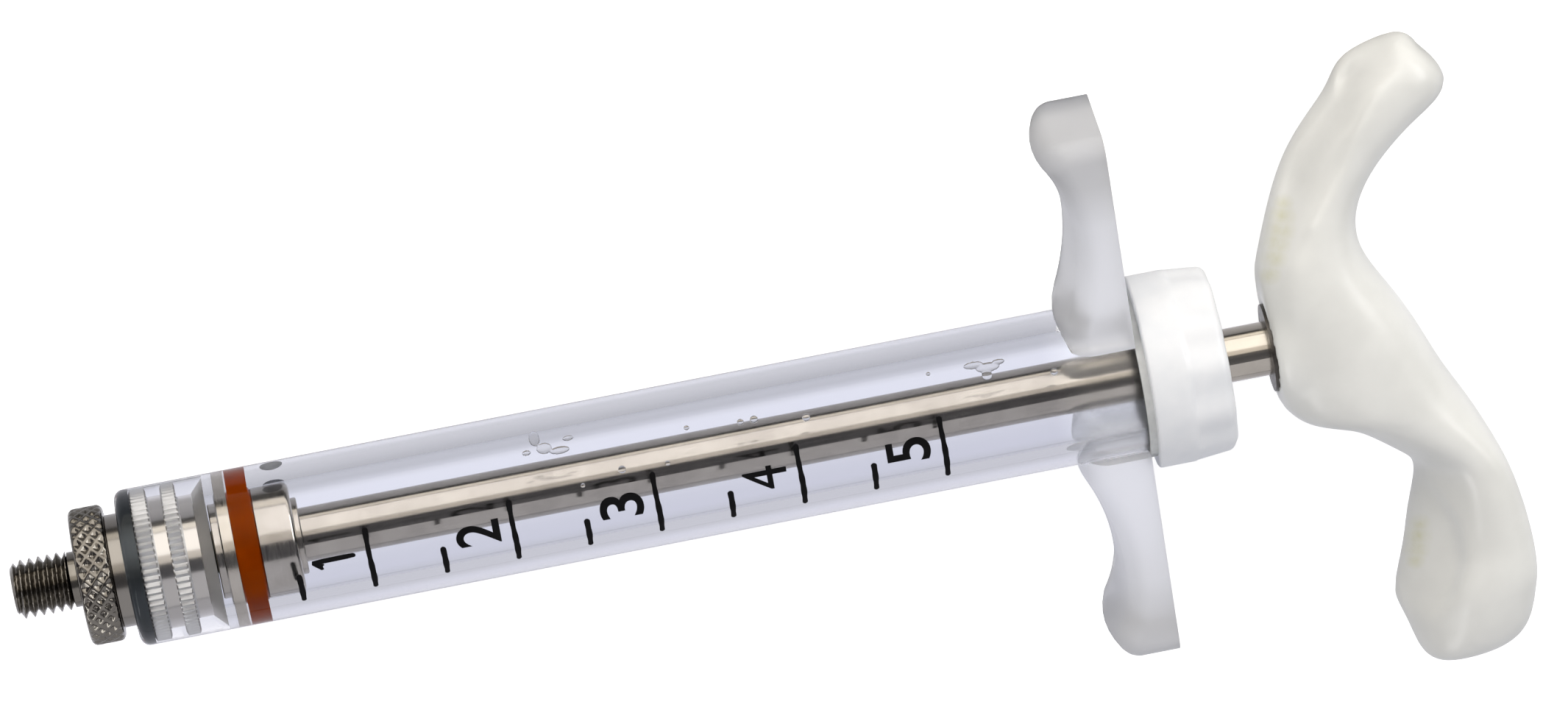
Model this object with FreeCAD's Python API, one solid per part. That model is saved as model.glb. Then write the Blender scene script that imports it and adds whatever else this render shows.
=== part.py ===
import FreeCAD, Part
import math
import os

# Reusable dosing syringe, lying on its side. X runs along the barrel, from the nozzle's tip to the handle.
# All lengths are in millimetres, and the origin is the mouth of the nozzle's bore.

# How the pieces are turned about the barrel's axis as the syringe lies on a table
WING_ROLL = 6.8
HANDLE_ROLL = -6.0

# Fits
RUNNING_GAP = 0.05

# Nozzle: threaded stud, knurled collar and the spigot that screws into the bush
STUD_LENGTH = 5.9
STUD_RADIUS = 2.6
STUD_TIP_CHAMFER = 0.5
COLLAR_LENGTH = 3.03
COLLAR_RADIUS = 6.06
COLLAR_ROUND = 0.55
NOZZLE_BORE_RADIUS = 0.9
SPIGOT_RADIUS = 2.5
SPIGOT_LENGTH = 4.2

# Flat ring that seals the nozzle against the bush
NOZZLE_WASHER_RADIUS = 3.9
NOZZLE_WASHER_THICKNESS = 0.5

# Metal bush moulded into the barrel's front
NECK_RADIUS = 5.0
NECK_LENGTH = 1.2
FLANGE_DEPTH = 1.35
BAND_RADIUS = 4.6
FRONT_BAND_LENGTH = 1.55
REAR_BAND_LENGTH = 1.35
BAND_SPACING = 1.23
GROOVE_RADIUS = 4.0
BUSH_TAIL_RADIUS = 3.7
BUSH_TAIL_LENGTH = 1.3
BUSH_CONE_RADIUS = 4.5
BUSH_CONE_LENGTH = 1.1
KNURL_TEETH = 52
KNURL_DEPTH = 0.22

# Barrel
BARREL_RADIUS = 6.93
BARREL_NOSE_ROUND = 0.85
BORE_RADIUS = 5.0
BARREL_LENGTH = 89.97
BORE_CHAMFER = 0.3
CAP_SPIGOT_RADIUS = 6.3
CAP_SPIGOT_END_GAP = 0.3

# Finger wings: depths are forward of the straight back face. The root rises from the barrel's skin,
# and the neck lies below the hook.
WING_REACH = 25.8
WING_HALF_WIDTH = 5.6
WING_ROUND = 1.2
WING_ROOT_DEPTH = 6.2
WING_ROOT_RISE = 0.3
WING_ROOT_RADIUS = 3.0
WING_NECK_DEPTH = 4.0
WING_NECK_BELOW_HOOK = 6.5
WING_HOOK_DEPTH = 5.9
WING_HOOK_RADIUS = 1.9

# Scale: long ticks at whole millilitres and short ones at the halves
MILLILITRE = 1000.0 / (math.pi * BORE_RADIUS ** 2)
SCALE_MAX = 5
SCALE_ZERO_OFFSET = 0.5
TICK_WIDTH = 0.48
TICK_DEPTH = 0.15
TICK_HALF_ANGLE = 25.7

# Piston
PISTON_RADIUS = 4.9
PISTON_FRONT_GAP = 0.1
NOSE_CONE_LENGTH = 1.2
NOSE_CONE_RADIUS = 1.9
NOSE_BOSS_RADIUS = 4.2
NOSE_BOSS_LENGTH = 0.66
NOSE_FLANGE_LENGTH = 1.1
SEAL_LENGTH = 2.12
SEAL_GROOVE_RADIUS = 3.5
SEAL_RADIUS = 4.97
SEAL_ROUND = 0.5
LAND_LENGTH = 3.36
LAND_ROUND = 0.5
PISTON_STEP_LENGTH = 0.51
PISTON_STEP_RADIUS = 3.4

# Rod
ROD_RADIUS = 2.4
ROD_TENON_RADIUS = 1.6
ROD_TENON_LENGTH = 4.5

# Screw cap and the washer in front of it
WASHER_THICKNESS = 0.65
WASHER_RADIUS = 7.5
CAP_LENGTH = 7.15
CAP_FRONT_RADIUS = 8.58
CAP_REAR_RADIUS = 8.2
CAP_ROUND = 0.9
CAP_WALL = 1.6
SCALLOP_COUNT = 12
SCALLOP_LENGTH = 3.9
SCALLOP_RADIUS = 2.6
SCALLOP_DEPTH = 0.28

# Metal ferrule moulded into the handle
FERRULE_GAP = 4.33
FERRULE_RADIUS = 3.9
FERRULE_RIM = 0.9
FERRULE_SLEEVE_RADIUS = 3.3
FERRULE_SLEEVE_LENGTH = 8.0
FERRULE_END_WALL = 1.0
FERRULE_PROUD = 0.15

# Handle, in its own plane. Each station is one section: its front and back edge, as distance behind
# the handle's face and distance out from the axis, then half its thickness, how far its near side
# leans back, and how deep the finger hollow is cut into it.
HANDLE_TIP_UP = (17.2, 24.9)
HANDLE_TIP_DOWN = (13.1, -31.7)
HANDLE_STATIONS = [
    ((14.0, 25.7), (18.7, 22.6), 3.2, 0.0, 0.0),
    ((11.8, 25.0), (18.8, 20.6), 4.3, 0.2, 0.0),
    ((9.6, 23.3), (16.1, 18.4), 4.8, 0.3, 0.0),
    ((6.8, 19.8), (12.7, 15.8), 4.9, 0.3, 0.0),
    ((2.3, 13.1), (9.4, 10.9), 5.2, 0.2, 0.0),
    ((0.8, 9.4), (9.3, 8.2), 5.7, 0.1, 0.0),
    ((-0.5, 2.7), (11.9, 2.7), 6.4, 0.0, 0.0),
    ((-0.4, -1.3), (13.7, -1.3), 6.5, 0.0, 0.0),
    ((0.1, -4.7), (14.9, -4.2), 6.4, 0.1, 0.0),
    ((2.0, -7.1), (16.0, -6.4), 6.2, 0.2, 0.0),
    ((5.0, -8.1), (17.0, -8.5), 5.9, 0.3, 0.02),
    ((8.2, -10.2), (17.8, -10.4), 5.6, 0.6, 0.05),
    ((10.8, -12.5), (18.5, -12.3), 5.3, 1.0, 0.10),
    ((11.0, -15.4), (19.2, -15.0), 5.2, 1.6, 0.14),
    ((9.8, -19.2), (19.8, -19.0), 5.2, 2.1, 0.16),
    ((8.5, -23.0), (20.0, -22.6), 5.3, 2.2, 0.14),
    ((8.0, -26.1), (19.7, -25.2), 5.2, 1.9, 0.10),
    ((8.8, -29.1), (18.9, -28.1), 4.6, 1.2, 0.05),
    ((9.9, -31.1), (17.0, -30.3), 3.0, 0.5, 0.0),
]
SECTION_POINTS = 16
SECTION_SQUARENESS = 2.3

# Places along the axis, each worked out from the pieces in front of it
collar_front = STUD_LENGTH
collar_back = collar_front + COLLAR_LENGTH
barrel_front = collar_back + NECK_LENGTH
front_band = barrel_front + FLANGE_DEPTH
groove_start = front_band + FRONT_BAND_LENGTH
rear_band = groove_start + BAND_SPACING
tail_start = rear_band + REAR_BAND_LENGTH
cone_start = tail_start + BUSH_TAIL_LENGTH
chamber_start = cone_start + BUSH_CONE_LENGTH
spigot_end = collar_back + SPIGOT_LENGTH
nose_start = chamber_start + PISTON_FRONT_GAP
flange_start = nose_start + NOSE_BOSS_LENGTH
seal_start = flange_start + NOSE_FLANGE_LENGTH
land_start = seal_start + SEAL_LENGTH
step_start = land_start + LAND_LENGTH
rod_start = step_start + PISTON_STEP_LENGTH
wing_back = barrel_front + BARREL_LENGTH
cap_front = wing_back + WASHER_THICKNESS
cap_back = cap_front + CAP_LENGTH
cap_floor = cap_back - CAP_WALL
barrel_back = cap_floor - CAP_SPIGOT_END_GAP
handle_face = cap_back + FERRULE_GAP
rod_end = handle_face + FERRULE_SLEEVE_LENGTH - FERRULE_END_WALL

AXIS_POINT = FreeCAD.Vector(0, 0, 0)
AXIS = FreeCAD.Vector(1, 0, 0)


def turned(outline):
    """A solid turned about the axis from (along, radius) corners."""
    corners = [FreeCAD.Vector(along, 0, radius) for along, radius in outline]
    face = Part.Face(Part.makePolygon(corners + corners[:1]))
    return face.revolve(AXIS_POINT, AXIS, 360)


def rod_shape(radius, start, end):
    """A plain cylinder on the axis."""
    return Part.makeCylinder(radius, end - start, FreeCAD.Vector(start, 0, 0), AXIS)


def ring(outer, inner, start, end):
    """A flat ring on the axis."""
    return rod_shape(outer, start, end).cut(rod_shape(inner, start, end))


def rounded_rim(solid, radius, place, size):
    """Rounds the circular edge of this radius that lies at this place along the axis."""
    rims = []
    for edge in solid.Edges:
        box = edge.BoundBox
        flat = abs(box.XMin - place) < 1e-4 and abs(box.XMax - place) < 1e-4
        if flat and abs(box.ZMax - radius) < 1e-3:
            rims.append(edge)
    return solid.makeFillet(size, rims)


def rolled(shape, angle):
    """Turns a shape about the syringe's axis."""
    turned_shape = shape.copy()
    turned_shape.rotate(AXIS_POINT, AXIS, angle)
    return turned_shape


def make_nozzle():
    """Threaded stud at its crest size, knurled collar and screwed spigot."""
    body = turned([
        (0, 0),
        (0, STUD_RADIUS - STUD_TIP_CHAMFER),
        (STUD_TIP_CHAMFER, STUD_RADIUS),
        (collar_front, STUD_RADIUS),
        (collar_front, COLLAR_RADIUS),
        (collar_back, COLLAR_RADIUS),
        (collar_back, SPIGOT_RADIUS),
        (spigot_end, SPIGOT_RADIUS),
        (spigot_end, 0),
    ])
    body = rounded_rim(body, COLLAR_RADIUS, collar_front, COLLAR_ROUND)
    body = rounded_rim(body, COLLAR_RADIUS, collar_back, COLLAR_ROUND)
    return body.cut(rod_shape(NOZZLE_BORE_RADIUS, 0, spigot_end))


def make_nozzle_washer():
    """Flat ring in the bush's recess, round the nozzle's spigot."""
    inner = SPIGOT_RADIUS + RUNNING_GAP
    return ring(NOZZLE_WASHER_RADIUS, inner, collar_back, collar_back + NOZZLE_WASHER_THICKNESS)


def bush_envelope():
    """The bush's outside with plain bands, which is also the space that it fills in the barrel."""
    return turned([
        (collar_back, 0),
        (collar_back, NECK_RADIUS),
        (front_band, NECK_RADIUS),
        (front_band, BAND_RADIUS),
        (groove_start, BAND_RADIUS),
        (groove_start, GROOVE_RADIUS),
        (rear_band, GROOVE_RADIUS),
        (rear_band, BAND_RADIUS),
        (tail_start, BAND_RADIUS),
        (tail_start, BUSH_TAIL_RADIUS),
        (cone_start, BUSH_TAIL_RADIUS),
        (chamber_start, BUSH_CONE_RADIUS),
        (chamber_start, 0),
    ])


def knurl_grooves(start, end):
    """V grooves along the axis, all round a knurled band."""
    pitch_angle = 2 * math.pi / KNURL_TEETH
    root = BAND_RADIUS - KNURL_DEPTH
    clear = BAND_RADIUS / math.cos(pitch_angle / 2) + KNURL_DEPTH
    wheel = []
    for tooth in range(KNURL_TEETH):
        crest_angle = tooth * pitch_angle
        root_angle = crest_angle + pitch_angle / 2
        for radius, angle in ((BAND_RADIUS, crest_angle), (root, root_angle)):
            wheel.append(FreeCAD.Vector(start, radius * math.cos(angle), radius * math.sin(angle)))
    teeth = Part.Face(Part.makePolygon(wheel + wheel[:1])).extrude(AXIS * (end - start))
    return rod_shape(clear, start, end).cut(teeth)


def make_front_bush():
    """Metal insert with two straight-knurled bands that key it into the barrel."""
    bush = bush_envelope()
    bush = bush.cut(knurl_grooves(front_band, groove_start))
    bush = bush.cut(knurl_grooves(rear_band, tail_start))
    bush = bush.cut(rod_shape(NOZZLE_WASHER_RADIUS, collar_back, collar_back + NOZZLE_WASHER_THICKNESS))
    bush = bush.cut(rod_shape(SPIGOT_RADIUS + RUNNING_GAP, collar_back, spigot_end + RUNNING_GAP))
    weep_start = chamber_start - NOSE_CONE_LENGTH
    outlet = turned([
        (spigot_end, 0),
        (spigot_end, NOZZLE_BORE_RADIUS),
        (weep_start, NOZZLE_BORE_RADIUS),
        (chamber_start, NOSE_CONE_RADIUS + PISTON_FRONT_GAP),
        (chamber_start, 0),
    ])
    return bush.cut(outlet)


def arc_round(centre, first, last):
    """The short arc about a centre, from one point to another."""
    radius = (first - centre).Length
    middle = (first - centre) + (last - centre)
    middle.normalize()
    return Part.Arc(first, centre + middle * radius, last).toShape()


def ogee(start, end, start_radius):
    """Two arcs that meet smoothly, and leave start and reach end square to the barrel."""
    run = end.x - start.x
    rise = end.y - start.y
    total_radius = (rise ** 2 + run ** 2) / (2 * abs(run))
    towards = math.copysign(1.0, run)
    start_centre = start + AXIS * (towards * start_radius)
    end_centre = end - AXIS * (towards * (total_radius - start_radius))
    joint = start_centre + (end_centre - start_centre) * (start_radius / total_radius)
    return [arc_round(start_centre, start, joint), arc_round(end_centre, joint, end)]


def wing_profile():
    """One wing's outline in its own plane: straight back, hollow front and hooked tip."""
    hook_height = WING_REACH - WING_HOOK_RADIUS
    neck_run = WING_HOOK_DEPTH - WING_NECK_DEPTH
    total_radius = (WING_NECK_BELOW_HOOK ** 2 + neck_run ** 2) / (2 * neck_run)
    neck_radius = total_radius - WING_HOOK_RADIUS
    toe = FreeCAD.Vector(wing_back - WING_ROOT_DEPTH, 0, 0)
    root = FreeCAD.Vector(wing_back - WING_ROOT_DEPTH, BARREL_RADIUS + WING_ROOT_RISE, 0)
    neck = FreeCAD.Vector(wing_back - WING_NECK_DEPTH, hook_height - WING_NECK_BELOW_HOOK, 0)
    hook = FreeCAD.Vector(wing_back - WING_HOOK_DEPTH, hook_height, 0)
    hook_centre = hook + AXIS * WING_HOOK_RADIUS
    crown = FreeCAD.Vector(hook_centre.x, WING_REACH, 0)
    tip = FreeCAD.Vector(wing_back, WING_REACH, 0)
    heel = FreeCAD.Vector(wing_back, 0, 0)
    edges = [Part.makeLine(heel, toe), Part.makeLine(toe, root)]
    edges += ogee(root, neck, WING_ROOT_RADIUS)
    edges += ogee(neck, hook, neck_radius)
    edges += [arc_round(hook_centre, hook, crown), Part.makeLine(crown, tip), Part.makeLine(tip, heel)]
    return Part.Face(Part.Wire(edges))


def make_wing():
    """One finger wing, with its front and tip rounded where the fingers pull."""
    profile = wing_profile()
    profile.translate(FreeCAD.Vector(0, 0, -WING_HALF_WIDTH))
    wing = profile.extrude(FreeCAD.Vector(0, 0, 2 * WING_HALF_WIDTH))
    pulled_edges = []
    for edge in wing.Edges:
        box = edge.BoundBox
        along_side = box.ZLength < 1e-6
        at_back = box.XMin > wing_back - 1e-3
        at_axis = box.YMax < 1e-3
        if along_side and not at_back and not at_axis:
            pulled_edges.append(edge)
    return wing.makeFillet(WING_ROUND, pulled_edges)


def make_wings():
    """Both wings, the second turned half round."""
    wing = make_wing()
    return wing.fuse(rolled(wing, 180))


def tick_blocks():
    """The skin sectors that the ticks fill, centred on the face between the wings."""
    zero = chamber_start + SCALE_ZERO_OFFSET
    blocks = []
    for half in range(1, 2 * SCALE_MAX + 1):
        whole = half % 2 == 0
        start = zero + half * MILLILITRE / 2 - TICK_WIDTH / 2
        first_angle = -TICK_HALF_ANGLE if whole else 0.0
        sweep = TICK_HALF_ANGLE - first_angle
        outer = Part.makeCylinder(BARREL_RADIUS, TICK_WIDTH, FreeCAD.Vector(start, 0, 0), AXIS, sweep)
        skin = outer.cut(rod_shape(BARREL_RADIUS - TICK_DEPTH, start, start + TICK_WIDTH))
        blocks.append(rolled(skin, first_angle))
    return Part.makeCompound(blocks)


def make_scale_ticks():
    """Black paint in the engraved lines."""
    return rolled(tick_blocks(), WING_ROLL)


def make_barrel():
    """Clear tube with its wings, the bush's space, the bore and the scale's engraving."""
    body = turned([
        (barrel_front, 0),
        (barrel_front, BARREL_RADIUS),
        (wing_back, BARREL_RADIUS),
        (wing_back, CAP_SPIGOT_RADIUS),
        (barrel_back, CAP_SPIGOT_RADIUS),
        (barrel_back, 0),
    ])
    body = rounded_rim(body, BARREL_RADIUS, barrel_front, BARREL_NOSE_ROUND)
    body = body.fuse(make_wings()).removeSplitter()
    bore = turned([
        (chamber_start, 0),
        (chamber_start, BORE_RADIUS),
        (barrel_back - BORE_CHAMFER, BORE_RADIUS),
        (barrel_back, BORE_RADIUS + BORE_CHAMFER),
        (barrel_back, 0),
    ])
    body = body.cut(bore)
    body = body.cut(bush_envelope())
    body = body.cut(tick_blocks())
    return rolled(body, WING_ROLL)


def make_piston_nose():
    """Front half of the piston: cone, boss, flange and the stud that carries the seal."""
    return turned([
        (nose_start - NOSE_CONE_LENGTH, 0),
        (nose_start - NOSE_CONE_LENGTH, NOZZLE_BORE_RADIUS - PISTON_FRONT_GAP),
        (nose_start, NOSE_CONE_RADIUS),
        (nose_start, NOSE_BOSS_RADIUS),
        (flange_start, NOSE_BOSS_RADIUS),
        (flange_start, PISTON_RADIUS),
        (seal_start, PISTON_RADIUS),
        (seal_start, SEAL_GROOVE_RADIUS),
        (land_start, SEAL_GROOVE_RADIUS),
        (land_start, 0),
    ])


def make_piston_seal():
    """Orange ring between the piston's two halves, with a rounded outer face."""
    seal = ring(
        SEAL_RADIUS,
        SEAL_GROOVE_RADIUS + RUNNING_GAP,
        seal_start + RUNNING_GAP,
        land_start - RUNNING_GAP,
    )
    seal = rounded_rim(seal, SEAL_RADIUS, seal_start + RUNNING_GAP, SEAL_ROUND)
    return rounded_rim(seal, SEAL_RADIUS, land_start - RUNNING_GAP, SEAL_ROUND)


def make_piston_body():
    """Rear half of the piston, screwed to the rod."""
    body = turned([
        (land_start, 0),
        (land_start, PISTON_RADIUS),
        (step_start, PISTON_RADIUS),
        (step_start, PISTON_STEP_RADIUS),
        (rod_start, PISTON_STEP_RADIUS),
        (rod_start, 0),
    ])
    body = rounded_rim(body, PISTON_RADIUS, step_start, LAND_ROUND)
    return body.cut(rod_shape(ROD_TENON_RADIUS, land_start, rod_start))


def make_plunger_rod():
    """Bright rod with a turned-down tenon in the piston."""
    return turned([
        (land_start, 0),
        (land_start, ROD_TENON_RADIUS),
        (rod_start, ROD_TENON_RADIUS),
        (rod_start, ROD_RADIUS),
        (rod_end, ROD_RADIUS),
        (rod_end, 0),
    ])


def make_cap_washer():
    """Dark ring that the cap presses against the barrel's back."""
    return ring(WASHER_RADIUS, CAP_SPIGOT_RADIUS + RUNNING_GAP, wing_back, cap_front)


def make_cap():
    """White screw cap with shallow scallops round its rear half."""
    body = turned([
        (cap_front, 0),
        (cap_front, CAP_FRONT_RADIUS),
        (cap_back - SCALLOP_LENGTH, CAP_FRONT_RADIUS),
        (cap_back, CAP_REAR_RADIUS),
        (cap_back, 0),
    ])
    body = rounded_rim(body, CAP_REAR_RADIUS, cap_back, CAP_ROUND)
    cutter_distance = CAP_REAR_RADIUS + SCALLOP_RADIUS - SCALLOP_DEPTH
    cutter = Part.makeCylinder(
        SCALLOP_RADIUS,
        SCALLOP_LENGTH,
        FreeCAD.Vector(cap_back - SCALLOP_LENGTH, 0, cutter_distance),
        AXIS,
    )
    for number in range(SCALLOP_COUNT):
        body = body.cut(rolled(cutter, number * 360.0 / SCALLOP_COUNT))
    body = body.cut(rod_shape(CAP_SPIGOT_RADIUS + RUNNING_GAP, cap_front, cap_floor))
    return body.cut(rod_shape(ROD_RADIUS + RUNNING_GAP, cap_floor, cap_back))


def make_ferrule():
    """Metal flange and sleeve that join the rod to the handle."""
    ferrule = turned([
        (handle_face - FERRULE_PROUD, 0),
        (handle_face - FERRULE_PROUD, FERRULE_RADIUS),
        (handle_face + FERRULE_RIM, FERRULE_RADIUS),
        (handle_face + FERRULE_RIM, FERRULE_SLEEVE_RADIUS),
        (handle_face + FERRULE_SLEEVE_LENGTH, FERRULE_SLEEVE_RADIUS),
        (handle_face + FERRULE_SLEEVE_LENGTH, 0),
    ])
    return ferrule.cut(rod_shape(ROD_RADIUS, handle_face - FERRULE_PROUD, rod_end))


def handle_section(front, back, half_thickness, lean, hollow):
    """One closed section of the handle, square to its plane, from its front edge to its back edge."""
    start = FreeCAD.Vector(handle_face + front[0], front[1], 0)
    end = FreeCAD.Vector(handle_face + back[0], back[1], 0)
    middle = (start + end) * 0.5
    across = (end - start) * 0.5
    half_width = across.Length
    across.normalize()
    half_plain = math.sqrt(half_width ** 2 - lean ** 2)
    power = 2.0 / SECTION_SQUARENESS
    points = []
    for number in range(SECTION_POINTS):
        angle = 2 * math.pi * number / SECTION_POINTS
        cosine = math.cos(angle)
        sine = math.sin(angle)
        reach = math.copysign(abs(cosine) ** power, cosine) * half_plain
        height = math.copysign(abs(sine) ** power, sine)
        scale = 1.0
        if cosine < 0 < sine:
            scale = 1.0 - hollow * math.sin(2 * angle) ** 2
        side = across * ((reach + lean * height) * scale)
        points.append(middle + side + FreeCAD.Vector(0, 0, height * half_thickness * scale))
    curve = Part.BSplineCurve()
    curve.interpolate(points, PeriodicFlag=True)
    return Part.Wire(curve.toShape())


def make_handle():
    """S-shaped palm rest, lofted through its sections and closed to a point at each tip."""
    up = Part.Vertex(handle_face + HANDLE_TIP_UP[0], HANDLE_TIP_UP[1], 0)
    down = Part.Vertex(handle_face + HANDLE_TIP_DOWN[0], HANDLE_TIP_DOWN[1], 0)
    sections = [up] + [handle_section(*station) for station in HANDLE_STATIONS] + [down]
    handle = Part.makeLoft(sections, True, False)
    box = handle.BoundBox
    corner = FreeCAD.Vector(handle_face - box.XLength, box.YMin, box.ZMin)
    front_block = Part.makeBox(box.XLength, box.YLength, box.ZLength, corner)
    handle = handle.cut(front_block)
    handle = handle.cut(rod_shape(FERRULE_RADIUS, handle_face, handle_face + FERRULE_RIM))
    sleeve_end = handle_face + FERRULE_SLEEVE_LENGTH
    handle = handle.cut(rod_shape(FERRULE_SLEEVE_RADIUS, handle_face, sleeve_end))
    return rolled(handle, HANDLE_ROLL)


pieces = {
    "nozzle": make_nozzle,
    "nozzle_washer": make_nozzle_washer,
    "front_bush": make_front_bush,
    "barrel": make_barrel,
    "scale_ticks": make_scale_ticks,
    "piston_nose": make_piston_nose,
    "piston_seal": make_piston_seal,
    "piston_body": make_piston_body,
    "plunger_rod": make_plunger_rod,
    "cap_washer": make_cap_washer,
    "cap": make_cap,
    "handle_ferrule": make_ferrule,
    "handle": make_handle,
}

os.makedirs("parts", exist_ok=True)
for name, make in pieces.items():
    shape = make()
    print(name, shape.ShapeType, len(shape.Solids), shape.isValid(), round(shape.Volume, 2))
    shape.exportStep("parts/" + name + ".step")
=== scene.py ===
"""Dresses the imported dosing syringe: clear moulded barrel, plated metalwork, white cap and palm rest."""

import math

import bpy
from mathutils import Matrix, Vector


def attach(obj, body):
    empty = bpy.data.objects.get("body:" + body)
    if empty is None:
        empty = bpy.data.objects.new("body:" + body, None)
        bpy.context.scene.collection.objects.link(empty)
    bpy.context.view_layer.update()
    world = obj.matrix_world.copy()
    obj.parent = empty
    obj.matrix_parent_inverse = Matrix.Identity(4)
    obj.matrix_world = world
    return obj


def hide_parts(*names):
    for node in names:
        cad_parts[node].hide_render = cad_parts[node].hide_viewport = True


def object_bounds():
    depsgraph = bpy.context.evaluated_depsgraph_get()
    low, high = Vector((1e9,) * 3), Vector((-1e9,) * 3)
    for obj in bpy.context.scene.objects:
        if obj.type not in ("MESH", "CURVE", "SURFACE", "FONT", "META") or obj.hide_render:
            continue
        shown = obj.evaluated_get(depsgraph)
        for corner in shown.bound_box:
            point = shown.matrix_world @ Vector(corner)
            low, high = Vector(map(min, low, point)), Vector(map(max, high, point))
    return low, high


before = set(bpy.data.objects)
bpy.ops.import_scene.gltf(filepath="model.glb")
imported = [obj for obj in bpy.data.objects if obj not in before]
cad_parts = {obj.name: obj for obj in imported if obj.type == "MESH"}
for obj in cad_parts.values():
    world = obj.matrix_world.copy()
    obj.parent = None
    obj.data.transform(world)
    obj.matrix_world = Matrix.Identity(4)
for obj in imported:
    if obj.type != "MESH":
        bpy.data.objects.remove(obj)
cad_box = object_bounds()

# Outlines are written in millimetres, and MM turns them to the frame's metres
MM = 0.001

# The wings and the scale are rolled about the barrel's axis, as the syringe lies
WING_ROLL = math.radians(6.8)

# Nozzle
STUD_END = 5.9
STUD_CREST = 2.6
STUD_ROOT = 2.02
STUD_LEAD = 1.95
RELIEF_START = 5.05
RELIEF_RADIUS = 2.45
THREAD_PITCH = 0.8
COLLAR_BACK = 8.93
COLLAR_RADIUS = 6.06
COLLAR_ROUND = 0.55
SPIGOT_RADIUS = 2.5
SPIGOT_END = 13.13
NOZZLE_BORE = 0.9
NOZZLE_CHAMFER = 0.15
LEAD_LENGTH = 0.5
DIAMONDS_ROUND = 28
DIAMOND_LENGTH = 1.1
DIAMOND_DEPTH = 0.26
DIAMOND_FADE = (0.05, 0.45)

# Flanks of the thread and the diamonds: slope, and how much is taken off so that the crests are flat
THREAD_FLANK = (1.25, 0.12)
DIAMOND_FLANK = (1.3, 0.15)

# Bush moulded into the barrel
WASHER_SEAT = 9.43
WASHER_SEAT_RADIUS = 3.9
SPIGOT_HOLE_RADIUS = SPIGOT_RADIUS + 0.05
SPIGOT_HOLE_END = 13.18
NECK_RADIUS = 5.0
BAND_RADIUS = 4.6
BAND_TEETH = 52
BAND_DEPTH = 0.22
GROOVE_RADIUS = 4.0
TAIL_RADIUS = 3.7
BAND_PLACES = ((11.48, 13.03), (14.26, 15.61))
TAIL_END = 16.91
CONE_RADIUS = 4.5
CHAMBER_START = 18.01
FUNNEL_START = 16.81
FUNNEL_RADIUS = 2.0
BUSH_TONES_START = 8.0
BUSH_TONES_END = 18.0

# Barrel: the plastic reaches a little into the metal, so that no thin air gap shows between them
BARREL_FRONT = 10.13
BARREL_RADIUS = 6.93
BARREL_NOSE_ROUND = 0.85
BARREL_END = 106.0
BORE_RADIUS = 5.0
BORE_CHAMFER = 0.3
WING_BACK = 100.1
CAP_SPIGOT_RADIUS = 6.3
GRIP = 0.02

# Where the plastic turns from clear to frosted, cloudy and hazy, and where it is painted grey as shade
# towards the outer ends of the wings, by radius, height and place
FROST_START = 6.95
FROST_END = 7.2
CLOUD_HALF_HEIGHT = 2.0
HAZE_START = 92.5
HAZE_END = 95.5
# Painted shade: the wings turn grey towards their outer ends, which face the window lamp
SHADED_TIP_START = 18.5
SHADED_TIP_END = 22.5
CLEAR_ROUGHNESS = 0.01
FROSTED_ROUGHNESS = 0.42
HAZY_ROUGHNESS = 0.16
CLOUDED_CLARITY = 0.5

# Grain of moulded skins, and how much of the noise goes into the two tones of a colour
GRAIN_DEPTH = 0.02
TONE_START = 0.35
TONE_END = 0.65

# Wings
WING_REACH = 25.8
WING_HALF_WIDTH = 5.6
WING_INSIDE = 5.5
WING_SLICE = 1.25
WING_ROUND_FROM = 5.6
WING_ROUND = 1.7
WING_CROWN = 0.2
WING_ROOT = (6.2, 7.23)
WING_ROOT_RADIUS = 3.0
WING_NECK = (4.0, 17.4)
WING_HOOK = (5.9, 23.9)
WING_HOOK_RADIUS = 1.9

# Scale
SCALE_ZERO = 18.51
MILLILITRE = 12.732
TICK_WIDTH = 0.48
TICK_ANGLE = math.radians(25.7)
PAINT_LOW = 6.88
PAINT_HIGH = 6.945
NUMERAL_HEIGHT = 3.9
NUMERAL_WIDTH = 2.25
NUMERAL_BEFORE_TICK = 3.15
NUMERAL_ANGLE = math.radians(4.5)

# Piston
NOSE_START = 18.11
FLANGE_START = 18.77
SEAL_START = 19.87
LAND_START = 21.99
STEP_START = 25.35
ROD_START = 25.86
NOSE_TIP = 16.95
NOSE_TIP_RADIUS = 0.8
NOSE_CONE_RADIUS = 1.9
NOSE_DISC_RADIUS = 4.2
SEAL_GROOVE_RADIUS = 3.5
STEP_RADIUS = 3.4
ROD_SOCKET_RADIUS = 1.65
PISTON_RADIUS = 4.9
SEAL_EDGE = 4.8
SEAL_PRESSED = 5.03
WETTED_RADIUS = 5.02

# Cap
CAP_FRONT = 100.75
CAP_BACK = 107.9
CAP_FRONT_RADIUS = 8.58
CAP_REAR_RADIUS = 8.2
CAP_FRONT_ROUND = 0.28
CAP_REAR_ROUND = 0.9
CAP_THREAD_RADIUS = 6.35
CAP_THREAD_END = 106.3
CAP_HOLE_RADIUS = 2.45
CAP_HOLE_CHAMFER = 0.3
SCALLOPS = 12
SCALLOP_START = 104.0
SCALLOP_DEPTH = 0.28
SCALLOP_RUN = 0.5
SCALLOPED_FROM = 7.2

# Disc left by the mould's gate
GATE_PLACE = 24.2
GATE_ANGLE = math.radians(91.9)
GATE_LIFT = 0.004
GATE_THICKNESS = 0.02

# Palm rest: heights in the picture between which its facet sets in and its worn hollow begins and ends
FACET_SLOPE = 0.57
FACET_STARTS = (6.0, 11.0)
HOLLOW_DEPTH = 0.9
HOLLOW_STARTS = (12.0, 15.0)
HOLLOW_ENDS = (24.5, 27.0)
HOLLOW_SIDE = 0.8

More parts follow.
